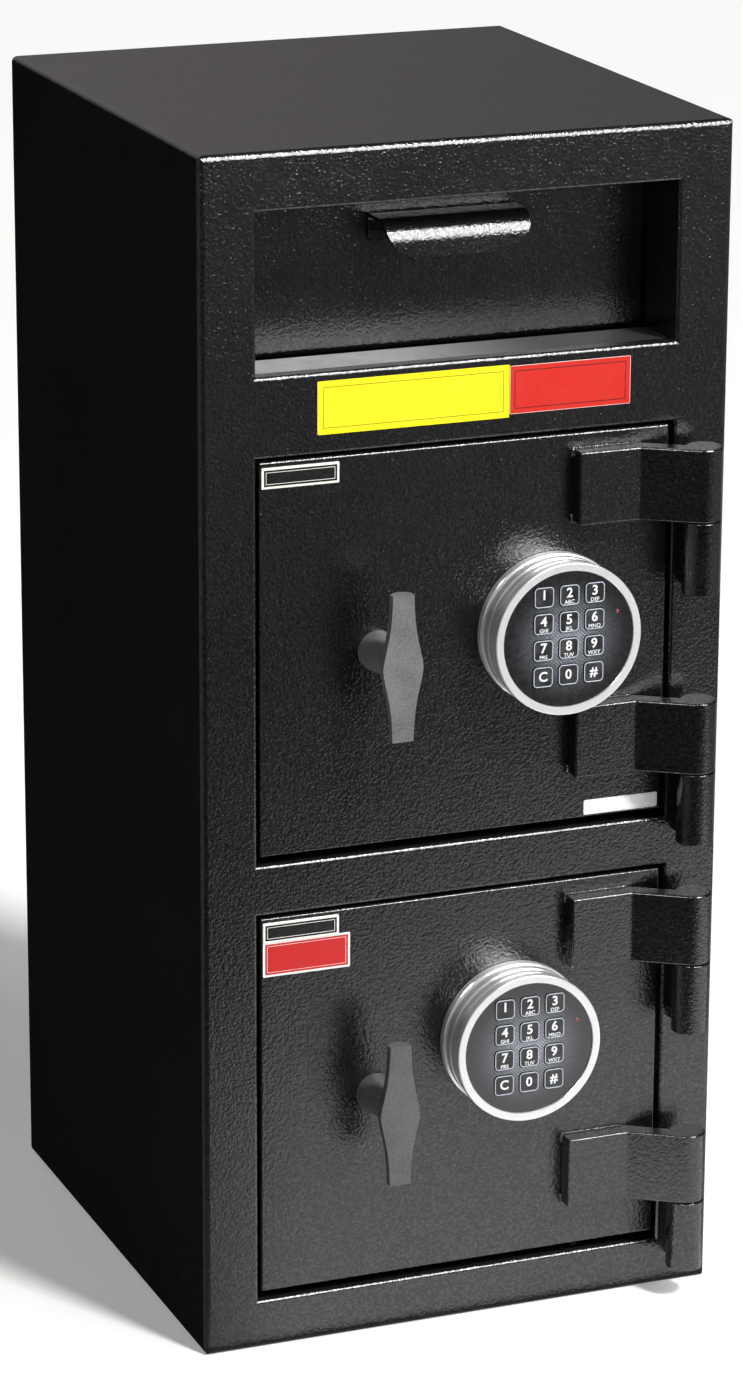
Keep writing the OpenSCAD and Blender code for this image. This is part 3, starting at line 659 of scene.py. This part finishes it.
for name, look in labels.items():
    w, h, centre = frontArea(look)
    corner = look.get("corner", labelSheet["corner"])
    mesh = plateMesh(name, w, h, labelSheet["thick"], corner, labelSheet["edge"], centre)
    newPiece(name, mesh, makeLabel(name, look, w, h, centre), look["body"])
for name, look in plates.items():
    w, h, centre = frontArea(look)
    mesh = plateMesh(name, w, h, plateLook["thick"], plateLook["corner"], plateLook["edge"], centre)
    newPiece(name, mesh, makePlateFinish(name, plateLook, w, h, centre), look["body"])
print("labels and plates made")


# Keypads: printed outlines round the keys, numerals and the signal lamp
keyRows = (("1", "2", "3"), ("4", "5", "6"), ("7", "8", "9"), ("clear", "0", "hash"))
keyMarks = {"clear": "C", "hash": "#"}
keyLetters = {"2": "ABC", "3": "DEF", "4": "GHI", "5": "JKL",
              "6": "MNO", "7": "PRS", "8": "TUV", "9": "WXY"}
keyPrint = {
    "size": 0.0091,
    "bold": 0.00020,
    "lift": 0.0014,           # numerals stand this much over the middle of a key, except C, 0 and #
    "letterSize": 0.0037,
    "letterBold": 0.00005,
    "letterDrop": 0.0046,
    "thick": 0.00003,
}
outline = {"Size": 0.0130, "Corner": 0.0024, "Width": 0.00065, "Thickness": 0.00006}
lamp = {
    "right": 0.0346,          # from the middle of the face
    "up": 0.0155,
    "radius": 0.0014,
    "dome": 0.35,
    "dark": (0.16, 0.02, 0.02, 1),
    "light": (0.32, 0.06, 0.055, 1),
    "grain": 1500.0,
    "rough": (0.12, 0.22),
}


def endTree(tree, geometry, mat, smooth=False):
    # real geometry with its material, as the last steps of each tree
    last = addNode(tree, "GeometryNodeRealizeInstances", {"Geometry": geometry})
    if smooth:
        last = addNode(tree, "GeometryNodeSetShadeSmooth", {"Geometry": last.outputs[0]})
    last = addNode(tree, "GeometryNodeSetMaterial", {"Geometry": last.outputs[0]})
    last.inputs["Material"].default_value = mat
    tree.links.new(last.outputs[0], tree.nodes.new("NodeGroupOutput").inputs[0])
    return tree


def makeOutlineTree(mat):
    tree = bpy.data.node_groups.new("keyOutlines", "GeometryNodeTree")
    size, corner, width, thick = addSockets(tree, Size="float", Corner="float",
                                            Width="float", Thickness="float")
    square = addNode(tree, "GeometryNodeCurvePrimitiveQuadrilateral", {"Width": size, "Height": size})
    rounded = addNode(tree, "GeometryNodeFilletCurve",
                      {"Curve": square.outputs[0], "Radius": corner, "Count": 4}, mode="POLY")
    section = addNode(tree, "GeometryNodeCurvePrimitiveQuadrilateral", {"Width": width, "Height": thick})
    ring = addNode(tree, "GeometryNodeCurveToMesh",
                   {"Curve": rounded.outputs[0], "Profile Curve": section.outputs[0]})
    return endTree(tree, ring.outputs[0], mat)


def plainMesh(holder):
    # the evaluated shape of an object that is then thrown away
    graph = bpy.context.evaluated_depsgraph_get()
    mesh = bpy.data.meshes.new_from_object(holder.evaluated_get(graph))
    bpy.data.objects.remove(holder)
    return mesh


def treeToMesh(name, tree, values, source=None):
    holder = linkObject(name + "Maker", source or bpy.data.meshes.new(name + "Maker"))
    modifier = holder.modifiers.new("maker", "NODES")
    modifier.node_group = tree
    setInputs(modifier, values)
    mesh = plainMesh(holder)
    mesh.name = name
    return mesh


def textMesh(text, size, bold):
    curve = bpy.data.curves.new("print", "FONT")
    curve.body = text
    curve.size = size
    curve.offset = bold
    curve.extrude = keyPrint["thick"]
    curve.align_x = "CENTER"
    curve.align_y = "CENTER"
    curve.resolution_u = 4
    mesh = plainMesh(linkObject("print", curve))
    bpy.data.curves.remove(curve)
    return mesh


def facingFront(x, y, z):
    return Matrix.Translation((x, y, z)) @ Matrix.Rotation(math.radians(90), 4, "X")


def joined(name, meshes):
    bm = bmesh.new()
    for mesh in meshes:
        bm.from_mesh(mesh)
        bpy.data.meshes.remove(mesh)
    return meshFrom(name, bm)


def lampMesh(name, look, x, y, z):
    bm = bmesh.new()
    bmesh.ops.create_uvsphere(bm, u_segments=20, v_segments=10, radius=look["radius"])
    bm.transform(facingFront(x, y, z) @ Matrix.Diagonal((1, 1, look["dome"], 1)))
    mesh = meshFrom(name, bm)
    mesh.shade_smooth()
    return mesh


def makeLamp(look):
    mat, tree, shader, at = startMaterial("signalLamp")
    grain = noise(tree, at, look["grain"])
    plug(tree, shader, color=mixColor(tree, grain, look["dark"], look["light"]),
         rough=ramp(tree, grain, 0.3, 0.7, *look["rough"]))
    return mat


def keyPrints(key, x, y, z):
    lettered = key in keyLetters
    lift = keyPrint["lift"] if lettered or key == "1" else 0.0
    mark = textMesh(keyMarks.get(key, key), keyPrint["size"], keyPrint["bold"])
    mark.transform(facingFront(x, y, z + lift))
    if not lettered:
        return [mark]
    letters = textMesh(keyLetters[key], keyPrint["letterSize"], keyPrint["letterBold"])
    letters.transform(facingFront(x, y, z - keyPrint["letterDrop"]))
    return [mark, letters]


outlineTree = makeOutlineTree(outlinePrint)
signalLamp = makeLamp(lamp)
for side in sides:
    x, y, z = middleOf(*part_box(side + "_keypad_face"))
    mesh = lampMesh(side + "Lamp", lamp, x + lamp["right"], y, z + lamp["up"])
    newPiece(side + "Lamp", mesh, signalLamp, side + "_door_leaf")
    for row in keyRows:
        for key in row:
            x, y, z = middleOf(*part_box(side + "_key_" + key))
            title = side + "Key" + key.capitalize()
            cap = side + "_key_" + key + "_cap"
            prints = keyPrints(key, x, y - keyPrint["thick"] * 0.5, z)
            newPiece(title + "Print", joined(title + "Print", prints), whitePrint, cap)
            ring = treeToMesh(title + "Outline", outlineTree, outline)
            ring.transform(facingFront(x, y, z))
            newPiece(title + "Outline", ring, outlinePrint, cap)
print("keypads printed")


# Weld beads over and under the flat part of each hinge arm, with a short turn at its free corners
weld = {"Spacing": 0.0016, "Size": 0.0016, "Seed": 7}
weldPath = {"run": 0.0435, "armHeight": 0.0495, "turn": 0.0045, "sink": 0.0002, "dropSizes": (0.82, 1.12)}


def makeWeldTree(mat):
    tree = bpy.data.node_groups.new("weldBead", "GeometryNodeTree")
    path, spacing, size, seed = addSockets(tree, Geometry="geometry", Spacing="float",
                                           Size="float", Seed="int")
    curve = addNode(tree, "GeometryNodeMeshToCurve", {"Mesh": path})
    points = addNode(tree, "GeometryNodeCurveToPoints", {"Curve": curve.outputs[0], "Length": spacing},
                     mode="LENGTH")
    drop = addNode(tree, "GeometryNodeMeshIcoSphere", {"Radius": size, "Subdivisions": 2})
    wobble = addNode(tree, "FunctionNodeRandomValue", {"Seed": seed}, data_type="FLOAT")
    wobble.inputs[2].default_value, wobble.inputs[3].default_value = weldPath["dropSizes"]
    placed = addNode(tree, "GeometryNodeInstanceOnPoints",
                     {"Points": points.outputs[0], "Instance": drop.outputs[0],
                      "Scale": wobble.outputs[1]})
    return endTree(tree, placed.outputs[0], mat, smooth=True)


def pathMesh(name, paths):
    mesh = bpy.data.meshes.new(name)
    verts = []
    edges = []
    for path in paths:
        start = len(verts)
        verts.extend(path)
        edges.extend((start + k, start + k + 1) for k in range(len(path) - 1))
    mesh.from_pydata(verts, edges, [])
    return mesh


def armPaths(low, high):
    left, right = low.x, low.x + weldPath["run"]
    y = frontY - weldPath["sink"]
    turn = weldPath["turn"]
    paths = []
    for top in (high.z, low.z + weldPath["armHeight"]):
        foot = top - weldPath["armHeight"]
        paths.append([(right, y, top), (left, y, top), (left, y, top - turn)])
        paths.append([(left, y, foot + turn), (left, y, foot), (right, y, foot)])
    return paths


weldTree = makeWeldTree(blackPaint)
for side in sides:
    name = side + "ArmWeld"
    path = pathMesh("armWeldPath", armPaths(*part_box(side + "_hinge_arms")))
    mesh = treeToMesh(name, weldTree, weld, path)
    newPiece(name, mesh, blackPaint, side + "_door_leaf")
print("weld beads laid")


# Socket screws that hold each lock case and the bolt guides to the back of the door
screws = {"Radius": 0.0029, "Height": 0.0024}
screwPlan = {"caseInset": 0.0075, "guideInset": 0.0042, "guideGap": 0.0196, "sink": 0.0002,
             "sides": 24, "socket": 0.52, "socketDepth": 0.6}


def makeScrewTree(mat):
    tree = bpy.data.node_groups.new("caseScrews", "GeometryNodeTree")
    places, radius, height = addSockets(tree, Geometry="geometry", Radius="float", Height="float")
    head = addNode(tree, "GeometryNodeMeshCylinder",
                   {"Vertices": screwPlan["sides"], "Radius": radius, "Depth": height})
    rim = addNode(tree, "GeometryNodeExtrudeMesh",
                  {"Mesh": head.outputs["Mesh"], "Selection": head.outputs["Top"], "Offset Scale": 0.0},
                  mode="FACES")
    narrow = addNode(tree, "GeometryNodeScaleElements",
                     {"Geometry": rim.outputs["Mesh"], "Selection": rim.outputs["Top"],
                      "Scale": screwPlan["socket"]})
    depth = calc(tree, "MULTIPLY", height, -screwPlan["socketDepth"])
    socket = addNode(tree, "GeometryNodeExtrudeMesh",
                     {"Mesh": narrow.outputs[0], "Selection": rim.outputs["Top"], "Offset Scale": depth},
                     mode="FACES")
    placed = addNode(tree, "GeometryNodeInstanceOnPoints",
                     {"Points": places, "Instance": socket.outputs["Mesh"]})
    placed.inputs["Rotation"].default_value = (math.radians(-90), 0, 0)
    return endTree(tree, placed.outputs[0], mat)


def screwPlaces(side):
    lift = screws["Height"] / 2 - screwPlan["sink"]
    inset, gap = screwPlan["caseInset"], screwPlan["guideGap"]
    low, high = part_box(side + "_lock_case")
    places = [(x, high.y + lift, z) for x in (low.x + inset, high.x - inset)
              for z in (low.z + inset, high.z - inset)]
    low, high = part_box(side + "_bolt_guides")
    middle = (low.x + high.x) / 2
    for z in (low.z + screwPlan["guideInset"], high.z - screwPlan["guideInset"] - gap):
        places += [(middle, high.y + lift, z), (middle, high.y + lift, z + gap)]
    return places


screwTree = makeScrewTree(bareSteel)
for side in sides:
    name = side + "CaseScrews"
    places = pathMesh("screwPlaces", [[place] for place in screwPlaces(side)])
    mesh = treeToMesh(name, screwTree, screws, places)
    newPiece(name, mesh, bareSteel, side + "_door_leaf")
print("screws set")


# Studio: pale floor, one broad sun-like softbox overhead, a fill and a soft surround
studio = {
    "floor": (0.82, 0.82, 0.81, 1),
    "floorShade": (0.78, 0.78, 0.775, 1),
    "floorGlow": 0.36,
    "floorRough": 0.85,
    "floorShine": 0.1,
    "floorRadius": 14,
    "backdrop": (0.93, 0.93, 0.93, 1),
}
sun = {"from": (0.27, -0.58, 0.77), "power": 3.0, "angle": 7}
fill = {"place": (1.7, -2.3, 2.1), "aim": (0.0, -0.15, 0.40), "size": (1.6, 1.6), "power": 46}
# pale floor just in front of the safe, as its paint mirrors it
bounce = {
    "strength": 1.62,
    "color": (0.99, 0.98, 1.0, 1),
    "x": (-0.7, 1.2),
    "y": -1.9,
    "z": 0.001,
    "gap": 0.01,
    "reach": (0.53, 0.67),         # from the front: full up to the first, faint past the second
    "faint": 0.09,
    "slant": 0.7,                  # it reaches farther to the right of slantFrom
    "slantFrom": 0.11,
    "left": (-0.225, -0.125),      # faint left of the first, full right of the second
    "leftSlant": -0.40,
    "leftFaint": 0.12,
    "middle": 0.25,
    "half": (0.5, 0.95),           # from the middle: full up to the first, gone past the second
}
# tall windows in front, mirrored by the rolled edges, the hood and the ring
windows = {
    "frontWindow": {"from": (0.33, -0.81, 0.485), "away": 3.0, "size": (1.7, 1.9), "strength": 17},
    "leftWindow": {"from": (-0.60, -0.66, 0.45), "away": 3.0, "size": (0.8, 1.7), "strength": 15},
}
windowAim = (0, frontY, 0.55)
# soft light from round about: direction, half width in degrees, full strength, colour
surround = {
    "overTop": ((0.05, 0.88, 0.47), 36, 0.43, (1.0, 0.95, 0.92)),
    "frontLow": ((0.615, -0.733, -0.29), 36, 0.27, (0.98, 0.98, 1.0)),
    "backRight": ((0.68, 0.66, -0.32), 34, 0.34, (1.0, 1.0, 1.0)),
    "backLeft": ((-0.76, 0.52, -0.38), 24, 0.22, (1.0, 1.0, 1.0)),
    "overFront": ((0.30, -0.50, 0.81), 34, 0.16, (1.0, 1.0, 1.0)),
    "frontLeft": ((-0.95, -0.12, -0.30), 34, 0.30, (1.0, 1.0, 1.0)),
    "right": ((0.93, -0.20, -0.30), 32, 0.28, (1.0, 1.0, 1.0)),
    "below": ((0.0, -0.10, -1.0), 45, 0.40, (1.0, 1.0, 1.0)),
}
dimmest = 0.008


def aimed(obj, place, aim):
    obj.location = place
    obj.rotation_mode = "QUATERNION"
    obj.rotation_quaternion = (Vector(aim) - Vector(place)).to_track_quat("-Z", "Y")


def makeLights():
    data = bpy.data.lights.new("sun", "SUN")
    data.energy = sun["power"]
    data.angle = math.radians(sun["angle"])
    aimed(linkObject("sun", data), Vector(sun["from"]) * 3, (0, 0, 0))
    data = bpy.data.lights.new("fill", "AREA")
    data.shape = "RECTANGLE"
    data.size, data.size_y = fill["size"]
    data.energy = fill["power"]
    box = linkObject("fill", data)
    box.visible_glossy = False
    aimed(box, fill["place"], fill["aim"])


def stageSheet(name, corners, mat):
    mesh = bpy.data.meshes.new(name)
    mesh.from_pydata(corners, [], [tuple(range(len(corners)))])
    mesh.materials.append(mat)
    obj = linkObject(name, mesh)
    return obj


def makeFloor(look):
    mat, tree, shader, at = startMaterial("floorPaper")
    paper = noise(tree, at, 3.0, 4.0)
    tone = mixColor(tree, ramp(tree, paper, 0.3, 0.7, 0.0, 0.3), look["floor"], look["floorShade"])
    plug(tree, shader, color=tone, rough=look["floorRough"], specular=look["floorShine"])
    tree.links.new(tone, shader.inputs["Emission Color"])
    shader.inputs["Emission Strength"].default_value = look["floorGlow"]
    turns = [math.radians(a) for a in range(0, 360, 5)]
    rim = [(look["floorRadius"] * math.cos(a), look["floorRadius"] * math.sin(a), 0.0) for a in turns]
    stageSheet("floor", rim, mat).visible_glossy = False


def glowCard(name, mat, tree, color, strength, corners):
    # a card of light that only mirrors see
    light = addNode(tree, "ShaderNodeEmission", {"Color": color, "Strength": strength})
    tree.links.new(light.outputs[0], tree.nodes.new("ShaderNodeOutputMaterial").inputs[0])
    card = stageSheet(name, corners, mat)
    for kind in ("camera", "diffuse", "shadow", "transmission", "volume_scatter"):
        setattr(card, "visible_" + kind, False)


def makeBounce(look):
    mat, tree = blankMaterial("floorBounce")
    at = tree.nodes.new("ShaderNodeTexCoord").outputs["Object"]
    x, y, z = splitAxes(tree, at)
    away = calc(tree, "SUBTRACT", frontY, y)
    reach = calc(tree, "MULTIPLY_ADD", calc(tree, "SUBTRACT", x, look["slantFrom"]), -look["slant"], away)
    fade = ramp(tree, reach, *look["reach"], 1.0, look["faint"], "SMOOTHSTEP")
    slanted = calc(tree, "MULTIPLY_ADD", away, look["leftSlant"], x)
    left = ramp(tree, slanted, *look["left"], look["leftFaint"], 1.0)
    aside = calc(tree, "ABSOLUTE", calc(tree, "SUBTRACT", x, look["middle"]))
    ends = ramp(tree, aside, *look["half"], 1.0, 0.0, "SMOOTHSTEP")
    power = calc(tree, "MULTIPLY", calc(tree, "MULTIPLY", fade, left), ends)
    power = calc(tree, "MULTIPLY", power, look["strength"])
    (west, east), near = look["x"], frontY - look["gap"]
    corners = [(west, look["y"]), (east, look["y"]), (east, near), (west, near)]
    glowCard("floorBounce", mat, tree, look["color"], power, [(*corner, look["z"]) for corner in corners])


def makeWindow(name, look):
    mat, tree = blankMaterial(name)
    toward = Vector(look["from"]).normalized()
    across = toward.cross(Vector((0, 0, 1))).normalized()
    upward = across.cross(toward)
    middle = Vector(windowAim) + toward * look["away"]
    corners = [middle + across * sx * look["size"][0] / 2 + upward * sz * look["size"][1] / 2
               for sx, sz in ((-1, -1), (1, -1), (1, 1), (-1, 1))]
    glowCard(name, mat, tree, (1, 1, 1, 1), look["strength"], corners)


def makeWorld(look):
    world = bpy.data.worlds.new("studio")
    bpy.context.scene.world = world
    world.use_nodes = True
    tree = world.node_tree
    tree.nodes.clear()
    way = tree.nodes.new("ShaderNodeTexCoord").outputs["Generated"]
    total = (dimmest, dimmest, dimmest, 1)
    for aim, half, strength, color in surround.values():
        facing = addNode(tree, "ShaderNodeVectorMath", {0: way, 1: Vector(aim).normalized()},
                         operation="DOT_PRODUCT").outputs["Value"]
        lobe = ramp(tree, facing, math.cos(math.radians(half)), 1.0, 0.0, strength, "SMOOTHSTEP")
        total = mixColor(tree, lobe, total, (*color, 1), "ADD")
    seen = addNode(tree, "ShaderNodeBackground", {"Color": look["backdrop"], "Strength": 1.0})
    light = addNode(tree, "ShaderNodeBackground", {"Color": total, "Strength": 1.0})
    direct = tree.nodes.new("ShaderNodeLightPath").outputs["Is Camera Ray"]
    mix = addNode(tree, "ShaderNodeMixShader", {0: direct, 1: light.outputs[0], 2: seen.outputs[0]})
    tree.links.new(mix.outputs[0], tree.nodes.new("ShaderNodeOutputWorld").inputs[0])


makeLights()
makeFloor(studio)
makeBounce(bounce)
for name, look in windows.items():
    makeWindow(name, look)
makeWorld(studio)
bpy.context.scene.view_settings.view_transform = "Standard"
print("studio lit")
